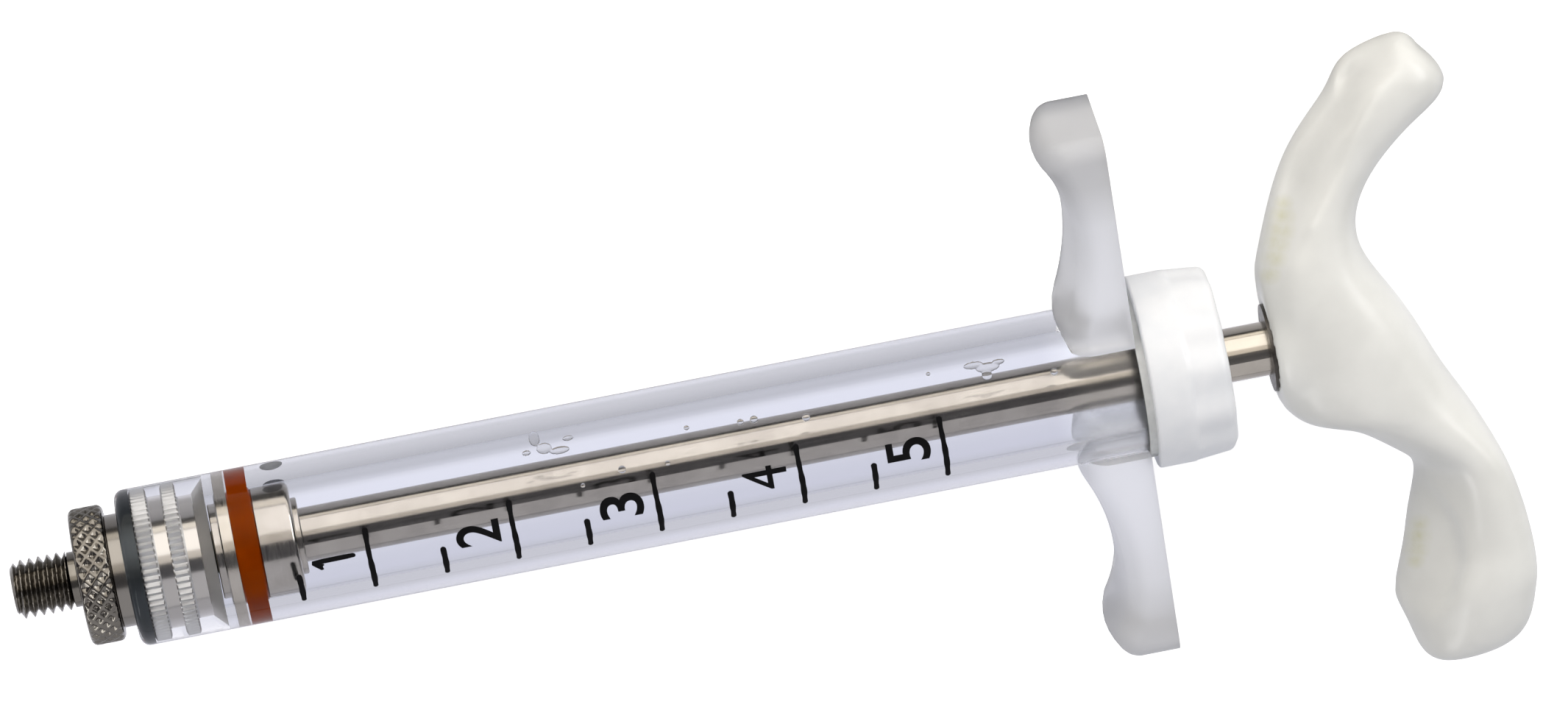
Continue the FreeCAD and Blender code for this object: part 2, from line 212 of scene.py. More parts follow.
# Flat seat of the palm rest round the ferrule, its rise per millimetre and where it fades into the boss
HANDLE_FACE = 112.28
SEAT_RISE = 0.25
SEAT_RADIUS = 3.9
SEAT_DEPTH = 3.5
SEAT_FADE = (4.7, 6.2)

# Where the palm rest has yellowed, and is darkened as painted shade on its left facet and in its worn
# hollow, as places along the barrel, heights in the picture and reach
STAINS_AND_SHADE = (
    (115.5, 12.2, 0.9), (115.1, 11.0, 1.3), (114.7, 9.9, 1.4), (114.2, 8.8, 1.3), (113.7, 7.6, 1.2),
    (113.1, 6.2, 1.0), (122.9, -17.9, 1.0), (122.6, -18.9, 1.3), (122.3, -20.0, 1.2), (122.0, -21.0, 0.9),
)

# Ridges of the palm rest as (along the barrel, height in the picture), from the bottom up
UPPER_RIDGE = ((117.3, 9.5), (120.9, 13.9), (122.4, 16.8), (125.0, 20.1), (127.3, 21.8), (127.3, 24.8))
LOWER_RIDGE = (
    (123.2, -26.2), (125.0, -24.4), (126.2, -21.8), (126.2, -18.3), (125.0, -15.4), (123.1, -12.7),
)

# Water on the barrel, by place along it and height in the picture: drops by size, films by length and width
DROPS = (
    (54.2, 0.3, 0.34), (58.2, 0.1, 0.22), (60.4, 2.8, 0.24), (65.1, 2.4, 0.3), (66.3, 2.4, 0.36),
    (70.8, 1.7, 0.36), (92.8, 1.5, 0.34), (50.6, -0.4, 0.2), (82.0, 3.4, 0.2),
)
SMEARS = (
    (47.2, 4.4, 0.5, 0.9), (47.9, 3.4, 0.7, 0.6), (49.2, 3.0, 0.9, 0.4), (50.1, 3.9, 0.5, 0.3),
    (46.3, 3.3, 0.4, 0.3), (86.0, 3.4, 0.9, 0.4), (87.2, 3.0, 1.1, 0.5), (88.2, 3.3, 0.6, 0.3),
    (87.0, 2.3, 0.5, 0.5),
)
FILM_HEIGHT = 0.09
BEAD_SUNK = 0.02

# Camera and light
VIEW_LEAN = math.radians(21.9)
TOWARDS = Vector((0, math.sin(VIEW_LEAN), math.cos(VIEW_LEAN)))
UPWARDS = Vector((0, math.cos(VIEW_LEAN), -math.sin(VIEW_LEAN)))
PICTURE_ROLL = math.radians(10.96)
CAMERA_DISTANCE = 780.0
CAMERA_FOOT = 41.15
PICTURE_CENTRE = (70.1, 7.0)
PICTURE_WIDTH = 137.75
SENSOR_WIDTH = 36.0

# Painted reflections of a room, glowing on the floor only for glossy and transmission rays (a dimmer near
# side, a bright band, a dark band overhead and a bright window), as shares of the way from near to far with
# red, green and blue
PAINTED_ROOM_NEAR = -50.0
PAINTED_ROOM_FAR = 150.0
PAINTED_ROOM_TONES = (
    (0.15, 0.6, 0.6, 0.65), (0.19, 0.74, 0.74, 0.82), (0.235, 0.84, 0.84, 0.9), (0.25, 0.95, 0.95, 1.02),
    (0.258, 0.95, 0.95, 1.02), (0.268, 0.66, 0.66, 0.7), (0.3, 0.56, 0.56, 0.6), (0.35, 0.38, 0.38, 0.41),
    (0.37, 0.02, 0.02, 0.02), (0.46, 0.02, 0.02, 0.02), (0.49, 1.6, 1.5, 1.35),
)


def linear(code):
    """An sRGB hex colour as linear RGBA."""
    channels = [int(code[i:i + 2], 16) / 255 for i in (1, 3, 5)]
    curve = [c / 12.92 if c <= 0.04045 else ((c + 0.055) / 1.055) ** 2.4 for c in channels]
    return (curve[0], curve[1], curve[2], 1.0)


def add_node(tree, kind, inputs=None, **settings):
    """Adds a node, sets it up, and fills or links its inputs."""
    new = tree.nodes.new(kind)
    for name, value in settings.items():
        setattr(new, name, value)
    for name, value in (inputs or {}).items():
        if isinstance(value, bpy.types.NodeSocket):
            tree.links.new(value, new.inputs[name])
        else:
            new.inputs[name].default_value = value
    return new


def new_material(name):
    """A material with an empty tree, a principled shader and its output."""
    material = bpy.data.materials.new(name)
    material.use_nodes = True
    tree = material.node_tree
    tree.nodes.clear()
    shader = add_node(tree, "ShaderNodeBsdfPrincipled")
    add_node(tree, "ShaderNodeOutputMaterial", {"Surface": shader.outputs["BSDF"]})
    return material, tree, shader


def object_point(tree, stretch=(1, 1, 1)):
    """Object coordinates, stretched along the axes."""
    place = add_node(tree, "ShaderNodeTexCoord")
    new = add_node(tree, "ShaderNodeMapping", {"Vector": place.outputs["Object"], "Scale": stretch})
    return new.outputs["Vector"]


def parts_of(tree, vector):
    """The X, Y and Z of a vector."""
    return add_node(tree, "ShaderNodeSeparateXYZ", {"Vector": vector}).outputs


def between(tree, value, low, high, first=0.0, last=1.0):
    """Runs from first to last while the value runs from low to high."""
    new = add_node(
        tree, "ShaderNodeMapRange",
        {"Value": value, "From Min": low, "From Max": high, "To Min": first, "To Max": last}
    )
    return new.outputs["Result"]


def reckon(tree, operation, *values):
    """The outcome of an operation on plain values."""
    new = add_node(tree, "ShaderNodeMath", dict(enumerate(values)), operation=operation)
    return new.outputs["Value"]


def measure(tree, operation, *vectors):
    """The plain value that an operation on vectors gives."""
    new = add_node(tree, "ShaderNodeVectorMath", dict(enumerate(vectors)), operation=operation)
    return new.outputs["Value"]


def blend(tree, share, first, second):
    """A colour between two colours."""
    new = add_node(tree, "ShaderNodeMix", {0: share, 6: first, 7: second}, data_type="RGBA")
    return new.outputs[2]


def noise(tree, point, scale, detail):
    """Cloudy noise."""
    new = add_node(tree, "ShaderNodeTexNoise", {"Vector": point, "Scale": scale, "Detail": detail})
    return new.outputs["Fac"]


def add_bumps(tree, shader, height, strength, depth):
    """Gives a shader bumps of a depth in millimetres."""
    new = add_node(
        tree, "ShaderNodeBump", {"Height": height, "Strength": strength, "Distance": depth * MM}
    )
    tree.links.new(new.outputs["Normal"], shader.inputs["Normal"])


def fill_ramp(node, stops):
    """Gives a ramp its stops as (place, colour), from the lowest to the highest."""
    ramp = node.color_ramp
    low, high = ramp.elements
    low.position, low.color = stops[0]
    high.position, high.color = stops[-1]
    for place, colour in stops[1:-1]:
        ramp.elements.new(place).color = colour
    return node.outputs["Color"]


def two_tones(tree, value, low, high):
    """A ramp between two sRGB colours."""
    new = add_node(tree, "ShaderNodeValToRGB", {"Fac": value})
    return fill_ramp(new, ((TONE_START, linear(low)), (TONE_END, linear(high))))


def deselect():
    """Leaves nothing selected."""
    bpy.ops.object.select_all(action="DESELECT")


def pick(*pieces):
    """Makes these objects the only ones selected, the last one active."""
    deselect()
    for piece in pieces:
        piece.select_set(True)
    bpy.context.view_layer.objects.active = pieces[-1]
    return pieces[-1]


def settle(piece, name):
    """Puts a piece's place into its mesh, and names it."""
    pick(piece)
    bpy.ops.object.transform_apply(location=True, rotation=True, scale=True)
    piece.name = name
    piece.data.name = name
    return piece


def join(name, *pieces):
    """Makes one piece of several."""
    pick(*pieces)
    bpy.ops.object.join()
    return settle(bpy.context.object, name)


def tidy_mesh(piece, gap=0.002):
    """Merges doubled points and points all faces outwards."""
    pick(piece)
    bpy.ops.object.mode_set(mode="EDIT")
    bpy.ops.mesh.select_all(action="SELECT")
    bpy.ops.mesh.remove_doubles(threshold=gap * MM)
    bpy.ops.mesh.select_all(action="SELECT")
    bpy.ops.mesh.normals_make_consistent(inside=False)
    bpy.ops.object.mode_set(mode="OBJECT")
    return piece


def turned(name, outline, segments=128):
    """A piece turned about the barrel's axis: a ring is extruded and widened through (along, radius)."""
    deselect()
    place, size = outline[0]
    bpy.ops.mesh.primitive_circle_add(
        vertices=segments, radius=size * MM, location=(place * MM, 0, 0), rotation=(0, math.pi / 2, 0)
    )
    piece = settle(bpy.context.object, name)
    bpy.ops.object.mode_set(mode="EDIT")
    bpy.ops.mesh.select_all(action="SELECT")
    for along, radius in outline[1:]:
        bpy.ops.mesh.extrude_region_move(TRANSFORM_OT_translate={"value": ((along - place) * MM, 0, 0)})
        if radius != size:
            grown = radius / size
            bpy.ops.transform.resize(value=(1, grown, grown), center_override=(along * MM, 0, 0))
        place, size = along, radius
    bpy.ops.object.mode_set(mode="OBJECT")
    return tidy_mesh(piece)


def rings(start, end, radius, count):
    """Evenly spaced rings of one radius, both ends left out."""
    return [(start + (end - start) * step / count, radius) for step in range(1, count)]


def corner(place, radius, size, first, last, steps=6):
    """A rounded corner: from angle first to last, in quarter turns, about a centre inside the corner."""
    turns = [first + (last - first) * step / steps for step in range(steps + 1)]
    return [
        (place + size * math.cos(turn * math.pi / 2), radius + size * math.sin(turn * math.pi / 2))
        for turn in turns
    ]


def reshape(piece, change):
    """Moves each point of a turned piece in or out: change(along, turn, radius) gives its new radius."""
    for point in piece.data.vertices:
        along, y, z = point.co / MM
        radius = math.hypot(y, z)
        factor = change(along, math.atan2(y, z) / (2 * math.pi), radius) / radius
        point.co = (point.co.x, point.co.y * factor, point.co.z * factor)
    piece.data.update()
    return piece


def modify(piece, kind, **settings):
    """Adds a modifier, sets it up and applies it."""
    pick(piece)
    modifier = piece.modifiers.new(kind.title(), kind)
    for name, value in settings.items():
        setattr(modifier, name, value)
    bpy.ops.object.modifier_apply(modifier=modifier.name)
    return piece


def smooth(piece, angle=35):
    """Smooth shading that keeps edges sharper than the angle."""
    pick(piece)
    bpy.ops.object.shade_smooth_by_angle(angle=math.radians(angle))
    return piece


def dress(piece, material, body, slot, *nodes):
    """Gives a finished piece its material and the body it rides on, and hides the nodes it stands for; its
    slot is not used.
    """
    piece.data.materials.clear()
    piece.data.materials.append(material)
    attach(piece, body)
    if nodes:
        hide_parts(*nodes)
    return piece


def repaint(node, material):
    """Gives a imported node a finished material."""
    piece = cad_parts[node]
    piece.data.materials.clear()
    piece.data.materials.append(material)
    return piece


def wave(phase):
    """0 on whole numbers and 1 half way between them, in straight slopes."""
    return 2 * abs(phase - math.floor(phase + 0.5))


def flank(depth, slope, flat):
    """How deep a groove is, from 0 on its flat crest to 1 in its root."""
    return min(1.0, max(0.0, slope * depth - flat))


def ease(value, low, high):
    """0 below low and 1 above high, smooth between them."""
    share = min(1.0, max(0.0, (value - low) / (high - low)))
    return share * share * (3 - 2 * share)


# Materials

def clear_plastic():
    """Polymethylpentene, injection moulded: glass-clear on the tube, frosted by the mould on the wings,
    with painted grey shade on their outer ends.
    """
    material, tree, shader = new_material("polymethylpentene_moulded_clear")
    point = object_point(tree)
    parts = parts_of(tree, point)
    across = add_node(tree, "ShaderNodeCombineXYZ", {"Y": parts["Y"], "Z": parts["Z"]})
    radius = measure(tree, "LENGTH", across.outputs["Vector"])
    frost = between(tree, radius, FROST_START * MM, FROST_END * MM)
    upper = between(tree, parts["Z"], -CLOUD_HALF_HEIGHT * MM, CLOUD_HALF_HEIGHT * MM)
    rear = between(tree, parts["X"], HAZE_START * MM, HAZE_END * MM)
    shaded_tip = between(tree, radius, SHADED_TIP_START * MM, SHADED_TIP_END * MM)
    frosted = between(tree, frost, 0.0, 1.0, CLEAR_ROUGHNESS, FROSTED_ROUGHNESS)
    hazy = reckon(tree, "MULTIPLY", rear, HAZY_ROUGHNESS)
    cloud = reckon(tree, "MULTIPLY", frost, upper)
    marks = noise(tree, object_point(tree, (60, 900, 900)), 1.0, 4.0)
    grain = noise(tree, point, 1500.0, 3.0)
    skin = add_node(tree, "ShaderNodeMix", {"Factor": frost, "A": marks, "B": grain})
    tube = blend(tree, rear, linear("#f0f1f5"), linear("#fcfdff"))
    wing = blend(tree, frost, tube, linear("#f6f8fc"))
    # Painted shade: grey on the outer ends of the wings
    tree.links.new(blend(tree, shaded_tip, wing, linear("#dcddde")), shader.inputs["Base Color"])
    tree.links.new(reckon(tree, "MAXIMUM", frosted, hazy), shader.inputs["Roughness"])
    clarity = between(tree, cloud, 0.0, 1.0, 1.0, CLOUDED_CLARITY)
    tree.links.new(clarity, shader.inputs["Transmission Weight"])
    add_bumps(tree, shader, skin.outputs["Result"], 0.1, GRAIN_DEPTH)
    shader.inputs["IOR"].default_value = 1.463
    shader.inputs["Specular Tint"].default_value = (0.12, 0.12, 0.12, 1)
    return material


def metal(name, tones, rough, stretch, depth):
    """A metal whose fine marks run where the stretch of its noise is least."""
    material, tree, shader = new_material(name)
    marks = noise(tree, object_point(tree, stretch), 1.0, 5.0)
    clouds = noise(tree, object_point(tree), 300.0, 4.0)
    tree.links.new(two_tones(tree, clouds, *tones), shader.inputs["Base Color"])
    tree.links.new(between(tree, marks, 0.3, 0.7, *rough), shader.inputs["Roughness"])
    add_bumps(tree, shader, marks, 0.2, depth)
    shader.inputs["Metallic"].default_value = 1.0
    return material


def moulded(name, tones, roughness, scale, level=0.5):
    """A moulded plastic or rubber: faint mottling in colour and skin."""
    material, tree, shader = new_material(name)
    mottle = noise(tree, object_point(tree), scale, 5.0)
    tree.links.new(two_tones(tree, mottle, *tones), shader.inputs["Base Color"])
    add_bumps(tree, shader, mottle, 0.15, GRAIN_DEPTH)
    shader.inputs["Roughness"].default_value = roughness
    shader.inputs["Specular IOR Level"].default_value = level
    return material


def stain_and_shade(material, colour, spots):
    """Yellowed patches, which also paint shade on the palm rest's left facet and worn hollow, each at a
    place along the barrel and a height in the picture.
    """
    tree = material.node_tree
    shader = tree.nodes["Principled BSDF"]
    clean = shader.inputs["Base Color"].links[0].from_socket
    point = object_point(tree)
    height = measure(tree, "DOT_PRODUCT", point, UPWARDS)
    seen = add_node(tree, "ShaderNodeCombineXYZ", {"X": parts_of(tree, point)["X"], "Y": height})
    mask = 0.0
    for along, up, reach in spots:
        away = measure(tree, "DISTANCE", seen.outputs["Vector"], (along * MM, up * MM, 0))
        mask = reckon(tree, "MAXIMUM", mask, between(tree, away, 0.0, reach * MM, 1.0, 0.0))
    share = reckon(tree, "MULTIPLY", mask, noise(tree, point, 900.0, 4.0))
    tree.links.new(blend(tree, share, clean, linear(colour)), shader.inputs["Base Color"])


tpx = clear_plastic()

# Bright nickel plate over turned brass: a warm grey with fine turning marks round the axis
turned_nickel = metal("nickel_plate_turned", ("#b8b2a7", "#c6c0b6"), (0.12, 0.24), (6000, 500, 500), 0.004)

# The same plate on the nozzle's thread and knurl, in a darker tone all over
knurled_nickel = metal(
    "nickel_plate_knurled", ("#6f6b65", "#848078"), (0.14, 0.26), (1500, 1500, 1500), 0.002
)

# Drawn stainless bar: fine marks along the rod
drawn_steel = metal("stainless_steel_drawn", ("#b4aea4", "#c0baaf"), (0.12, 0.2), (80, 4000, 4000), 0.004)

# Dull plated ferrule in the handle
ferrule_metal = metal("zinc_plate_dull", ("#55524e", "#66625d"), (0.3, 0.45), (2500, 2500, 2500), 0.006)

# Silicone ring: deep orange, satin
silicone = moulded("silicone_rubber_orange", ("#9a3c00", "#8a3400"), 0.6, 500.0, level=0.0)

# Rubber washers: light grey, matt
grey_rubber = moulded("nitrile_rubber_grey", ("#cfd1d0", "#c2c4c3"), 0.6, 900.0)

# Acetal cap: white with a satin skin
acetal = moulded("acetal_white", ("#e6e8ea", "#dfe2e5"), 0.38, 300.0)

# Nylon palm rest: ivory, smooth, a little shiny
nylon = moulded("nylon_ivory", ("#dedfdb", "#d6d7d3"), 0.3, 160.0)
# Yellowing, and painted shade on the left facet and in the worn hollow
stain_and_shade(nylon, "#c9c8a6", STAINS_AND_SHADE)

# Clean water
water, _, water_shader = new_material("water_drops")
water_shader.inputs["Transmission Weight"].default_value = 1.0
water_shader.inputs["IOR"].default_value = 1.333
water_shader.inputs["Roughness"].default_value = 0.0

# Polymethylpentene again, where the gate was cut: grey and dull
gate_grey = moulded("polymethylpentene_gate_mark", ("#8f9298", "#a3a6ab"), 0.5, 900.0)
gate_grey.node_tree.nodes["Principled BSDF"].inputs["Transmission Weight"].default_value = 0.7

# Pad-printing ink in the scale
ink = moulded("scale_ink_black", ("#040405", "#0b0b0d"), 0.6, 900.0, level=0.1)


# Nozzle: thread, diamond knurl and spigot on one turned piece

def make_nozzle():
    """Bored stud with a right-hand thread, and a collar with a diamond knurl."""
    front_face = STUD_END + COLLAR_ROUND
    back_face = COLLAR_BACK - COLLAR_ROUND
    inner = COLLAR_RADIUS - COLLAR_ROUND
    outline = [(NOZZLE_CHAMFER, NOZZLE_BORE), (0.0, NOZZLE_BORE + NOZZLE_CHAMFER), (0.0, STUD_LEAD)]
    outline += rings(0.0, RELIEF_START, STUD_CREST, 100)
    outline += [(RELIEF_START, STUD_ROOT), (RELIEF_START + 0.1, RELIEF_RADIUS), (STUD_END, RELIEF_RADIUS)]
    outline += corner(front_face, inner, COLLAR_ROUND, 2, 1)
    outline += rings(front_face, back_face, COLLAR_RADIUS, 18)
    outline += corner(back_face, inner, COLLAR_ROUND, 1, 0)
    outline += [(COLLAR_BACK, SPIGOT_RADIUS), (SPIGOT_END, SPIGOT_RADIUS), (SPIGOT_END, NOZZLE_BORE)]
    outline += [(NOZZLE_CHAMFER, NOZZLE_BORE)]
    piece = turned("nozzle_with_collar", outline, DIAMONDS_ROUND * 12)

    def cut(along, turn, radius):
        if 0 < along < RELIEF_START - 0.001 and radius > STUD_ROOT:
            depth = wave(along / THREAD_PITCH - turn)
            crest = STUD_CREST - (STUD_CREST - STUD_ROOT) * flank(depth, *THREAD_FLANK)
            lead = STUD_LEAD + (STUD_CREST - STUD_LEAD) * min(1.0, along / LEAD_LENGTH)
            return min(crest, lead)
        if STUD_END < along < COLLAR_BACK and radius > inner + 0.1:
            around = DIAMONDS_ROUND * turn
            step = (along - STUD_END) / DIAMOND_LENGTH
            pit = min(wave(around + step), wave(around - step))
            edge = ease(min(along - STUD_END, COLLAR_BACK - along), *DIAMOND_FADE)
            return radius - DIAMOND_DEPTH * edge * flank(pit, *DIAMOND_FLANK)
        return radius

    smooth(reshape(piece, cut), 45)
    return dress(piece, knurled_nickel, "nozzle", "nickel_plate", "nozzle")


# Bush: neck, two straight-knurled bands, groove and tail

def bush_metal():
    """Nickel plate wetted by the plastic, toned zone by zone: a dark flange, a band of painted shade behind
    it, bright matt knurling and a turned tail.
    """
    material, tree, shader = new_material("nickel_plate_insert")
    place = parts_of(tree, object_point(tree))["X"]
    along = between(tree, place, BUSH_TONES_START * MM, BUSH_TONES_END * MM)
    neck = ("#8c8882", 0.2)
    flange = ("#6e7272", 0.4)
    # Painted shade: the band between the flange and the first knurl is darkened as shadow
    shade = ("#45494b", 0.4)
    knurl = ("#dededc", 0.5)
    tail = ("#c4c0b9", 0.16)
    cone = ("#d2cfc9", 0.5)
    zones = (
        (BUSH_TONES_START, neck), (10.1, flange), (10.7, shade), (11.5, knurl), (13.1, tail),
        (14.3, knurl), (15.7, tail), (16.92, cone),
    )
    tones = []
    skins = []
    for start, (colour, rough) in zones:
        share = (start - BUSH_TONES_START) / (BUSH_TONES_END - BUSH_TONES_START)
        tones.append((share, linear(colour)))
        skins.append((share, (rough, rough, rough, 1)))
    for stops, socket in ((tones, "Base Color"), (skins, "Roughness")):
        ramp = add_node(tree, "ShaderNodeValToRGB", {"Fac": along})
        ramp.color_ramp.interpolation = "CONSTANT"
        tree.links.new(fill_ramp(ramp, stops), shader.inputs[socket])
    shader.inputs["Metallic"].default_value = 1.0
    return material


def make_bush():
    """The metal insert, seen through the plastic."""
    outline = [
        (WASHER_SEAT, SPIGOT_HOLE_RADIUS), (WASHER_SEAT, WASHER_SEAT_RADIUS),
        (COLLAR_BACK, WASHER_SEAT_RADIUS), (COLLAR_BACK, NECK_RADIUS - 0.1),
        (COLLAR_BACK + 0.1, NECK_RADIUS), (BAND_PLACES[0][0], NECK_RADIUS),
    ]
    for start, end in BAND_PLACES:
        outline += [
            (start, BAND_RADIUS - BAND_DEPTH), (start + 0.02, BAND_RADIUS - BAND_DEPTH),
            (start + 0.14, BAND_RADIUS), (end - 0.14, BAND_RADIUS), (end - 0.02, BAND_RADIUS - BAND_DEPTH),
            (end, BAND_RADIUS - BAND_DEPTH),
        ]
        if end < BAND_PLACES[1][0]:
            outline += [(end, GROOVE_RADIUS), (BAND_PLACES[1][0], GROOVE_RADIUS)]
    outline += [
        (BAND_PLACES[1][1], TAIL_RADIUS), (TAIL_END, TAIL_RADIUS), (CHAMBER_START, CONE_RADIUS),
        (CHAMBER_START, FUNNEL_RADIUS), (FUNNEL_START, NOZZLE_BORE), (SPIGOT_HOLE_END, NOZZLE_BORE),
        (SPIGOT_HOLE_END, SPIGOT_HOLE_RADIUS), (WASHER_SEAT, SPIGOT_HOLE_RADIUS),
    ]
    piece = turned("bush_in_barrel", outline, BAND_TEETH * 6)

    def teeth(along, turn, radius):
        banded = any(start + 0.03 < along < end - 0.03 for start, end in BAND_PLACES)
        if banded and radius > BAND_RADIUS - 0.01:
            return BAND_RADIUS - BAND_DEPTH * wave(BAND_TEETH * turn)
        return radius

    smooth(reshape(piece, teeth), 30)
    return dress(piece, bush_metal(), "barrel", "nickel_plate", "front_bush")


# Barrel and wings

def arc_points(centre, first, last, steps):
    """Points of the short arc about a centre, the first point left out."""
    start = math.atan2(first[1] - centre[1], first[0] - centre[0])
    end = math.atan2(last[1] - centre[1], last[0] - centre[0])
    sweep = (end - start + math.pi) % (2 * math.pi) - math.pi
    radius = math.hypot(first[0] - centre[0], first[1] - centre[1])
    return [
        (centre[0] + radius * math.cos(start + sweep * step / steps),
         centre[1] + radius * math.sin(start + sweep * step / steps))
        for step in range(1, steps + 1)
    ]


def ogee_points(start, end, start_radius, steps=12):
    """Two arcs that meet smoothly and leave start and reach end square to the barrel."""
    run = end[0] - start[0]
    rise = end[1] - start[1]
    total = (rise ** 2 + run ** 2) / (2 * abs(run))
    towards = math.copysign(1.0, run)
    start_centre = (start[0] + towards * start_radius, start[1])
    end_centre = (end[0] - towards * (total - start_radius), end[1])
    share = start_radius / total
    joint = tuple(a + (b - a) * share for a, b in zip(start_centre, end_centre))
    return arc_points(start_centre, start, joint, steps) + arc_points(end_centre, joint, end, steps)


def make_wing(name, turn):
    """One wing: its outline is extruded through its width, and the edges that fingers pull are rounded."""
    root = (WING_BACK - WING_ROOT[0], WING_ROOT[1])
    neck = (WING_BACK - WING_NECK[0], WING_NECK[1])
    hook = (WING_BACK - WING_HOOK[0], WING_HOOK[1])
    hook_centre = (hook[0] + WING_HOOK_RADIUS, hook[1])
    run = WING_HOOK[0] - WING_NECK[0]
    rise = WING_HOOK[1] - WING_NECK[1]
    neck_radius = (rise ** 2 + run ** 2) / (2 * run) - WING_HOOK_RADIUS
    outline = [(WING_BACK, WING_INSIDE), (root[0], WING_INSIDE), root]
    outline += ogee_points(root, neck, WING_ROOT_RADIUS)
    outline += ogee_points(neck, hook, neck_radius)
    outline += arc_points(hook_centre, hook, (hook_centre[0], WING_REACH), 12)
    outline += [(WING_BACK, WING_REACH)]
    deselect()
    bpy.ops.mesh.primitive_circle_add(vertices=len(outline), radius=MM, fill_type="NGON")
    piece = bpy.context.object
    for point, (along, height) in zip(piece.data.vertices, outline):
        point.co = (along * MM, height * MM, -WING_HALF_WIDTH * MM)
    bpy.ops.object.mode_set(mode="EDIT")
    bpy.ops.mesh.select_all(action="SELECT")
    bpy.ops.mesh.extrude_region_move(TRANSFORM_OT_translate={"value": (0, 0, 2 * WING_HALF_WIDTH * MM)})
    bpy.ops.object.mode_set(mode="OBJECT")
    tidy_mesh(piece)
    bpy.context.tool_settings.mesh_select_mode = (False, True, False)
    pick(piece)
    bpy.ops.object.mode_set(mode="EDIT")
    for step in range(-3, 4):
        bpy.ops.mesh.select_all(action="SELECT")
        bpy.ops.mesh.bisect(plane_co=(0, 0, WING_SLICE * step * MM), plane_no=(0, 0, 1))
    bpy.ops.mesh.select_all(action="DESELECT")
    bpy.ops.object.mode_set(mode="OBJECT")
    points = piece.data.vertices
    for edge in piece.data.edges:
        a, b = (points[number].co / MM for number in edge.vertices)
        at_side = min(abs(a.z), abs(b.z)) > WING_HALF_WIDTH - 0.01 and a.z * b.z > 0
        pulled = min(a.x, b.x) < WING_BACK - 0.01 and max(a.y, b.y) > WING_ROUND_FROM
        edge.select = at_side and pulled
    bpy.ops.object.mode_set(mode="EDIT")
    bpy.ops.mesh.bevel(offset=WING_ROUND * MM, segments=6, profile=0.5, affect="EDGES", clamp_overlap=False)
    bpy.ops.object.mode_set(mode="OBJECT")
    bpy.context.tool_settings.mesh_select_mode = (True, False, False)
    for point in piece.data.vertices:
        side = (point.co.z / MM / WING_HALF_WIDTH) ** 2
        depth = WING_BACK - point.co.x / MM
        point.co.x = (WING_BACK - depth * (1 - WING_CROWN * side)) * MM
    piece.data.update()
    piece.rotation_euler = (turn, 0, 0)
    return settle(piece, name)


def make_barrel():
    """Clear tube fused with its two wings."""
    inner = BARREL_RADIUS - BARREL_NOSE_ROUND
    tooth_root = BAND_RADIUS - BAND_DEPTH - GRIP
    outline = [(BARREL_FRONT, NECK_RADIUS - GRIP)]
    outline += corner(BARREL_FRONT + BARREL_NOSE_ROUND, inner, BARREL_NOSE_ROUND, 2, 1, 8)
    outline += [(90.0, BARREL_RADIUS), (WING_BACK, BARREL_RADIUS), (WING_BACK, CAP_SPIGOT_RADIUS)]
    outline += [(BARREL_END, CAP_SPIGOT_RADIUS), (BARREL_END, BORE_RADIUS + BORE_CHAMFER)]
    outline += [(BARREL_END - BORE_CHAMFER, BORE_RADIUS), (CHAMBER_START, BORE_RADIUS)]
    outline += [(CHAMBER_START, CONE_RADIUS - GRIP)]
    outline += [(TAIL_END, TAIL_RADIUS - GRIP), (BAND_PLACES[1][1] - GRIP, TAIL_RADIUS - GRIP)]
    outline += [(BAND_PLACES[1][1] - GRIP, tooth_root), (BAND_PLACES[1][0] + GRIP, tooth_root)]
    outline += [(BAND_PLACES[1][0] + GRIP, GROOVE_RADIUS - GRIP)]
    outline += [(BAND_PLACES[0][1] - GRIP, GROOVE_RADIUS - GRIP), (BAND_PLACES[0][1] - GRIP, tooth_root)]
    outline += [(BAND_PLACES[0][0] - GRIP, tooth_root), (BAND_PLACES[0][0] - GRIP, NECK_RADIUS - GRIP)]
    outline += [(BARREL_FRONT, NECK_RADIUS - GRIP)]
    piece = turned("barrel_with_wings", outline, 192)
    for number, turn in enumerate((0.0, math.pi)):
        wing = make_wing("wing_%d" % number, turn)
        modify(piece, "BOOLEAN", operation="UNION", solver="EXACT", object=wing)
        bpy.data.objects.remove(wing)
    piece.rotation_euler = (WING_ROLL, 0, 0)
    settle(piece, "barrel_with_wings")
    smooth(piece, 30)
    return dress(piece, tpx, "barrel", "clear_plastic", "barrel")


# Scale

def make_tick(place, first, last):
    """One line of ink, spun about the axis: its ends are round and its sides waver."""
    deselect()
    middle = (PAINT_LOW + PAINT_HIGH) / 2
    centre = (place * MM, 0, middle * MM)
    bpy.ops.mesh.primitive_plane_add(size=1, location=centre, rotation=(math.pi / 2, 0, 0))
    piece = bpy.context.object
    piece.scale = (TICK_WIDTH * MM, (PAINT_HIGH - PAINT_LOW) * MM, 1)
    settle(piece, "tick")
    piece.rotation_euler = (first, 0, 0)
    settle(piece, "tick")
    bpy.ops.object.mode_set(mode="EDIT")
    bpy.ops.mesh.select_all(action="SELECT")
    bpy.ops.mesh.spin(steps=48, angle=first - last, center=(0, 0, 0), axis=(1, 0, 0))
    bpy.ops.object.mode_set(mode="OBJECT")
    for point in piece.data.vertices:
        along, y, z = point.co / MM
        angle = math.atan2(-y, z)
        to_end = min(angle - first, last - angle) * BARREL_RADIUS / (TICK_WIDTH / 2)
        end = math.sqrt(max(0.06, 1 - max(0.0, 1 - to_end) ** 2))
        waver = 1 + 0.1 * math.sin(9 * angle + place) + 0.07 * math.sin(31 * angle + 3 * place)
        drift = 0.035 * math.sin(7 * angle + 2 * place)
        point.co.x = (place + drift + (along - place) * end * waver) * MM
    piece.data.update()
    return tidy_mesh(piece)


